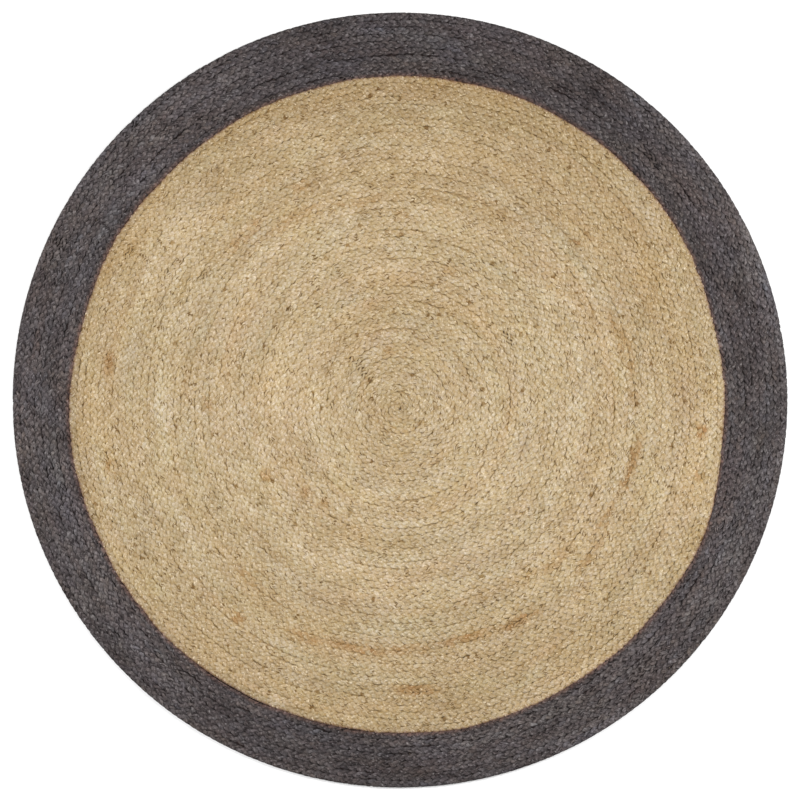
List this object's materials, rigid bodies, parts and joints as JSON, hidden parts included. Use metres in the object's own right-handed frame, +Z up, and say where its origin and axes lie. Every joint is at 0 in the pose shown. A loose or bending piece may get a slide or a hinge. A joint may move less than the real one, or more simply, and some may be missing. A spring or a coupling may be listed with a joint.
{
  "type": "round braided jute rug",
  "caption": "Round flat rug of coiled and sewn jute braid, with a natural field and a charcoal border.",
  "frame": {"origin": "middle of the rug's underside, on the floor", "axes": "+Z up through the rug's thickness, +X to the right and +Y to the top of the rug as seen from above"},
  "size_m": [1.2, 1.2, 0.008],
  "materials": {
    "natural_jute": "coarse matt undyed jute braid with straw, grey-green and brown fibres",
    "charcoal_jute": "coarse matt jute braid, dyed charcoal grey"
  },
  "bodies": {
    "root": {"natural_braid_field": "natural_jute", "charcoal_braid_border": "charcoal_jute"}
  },
  "joints": []
}
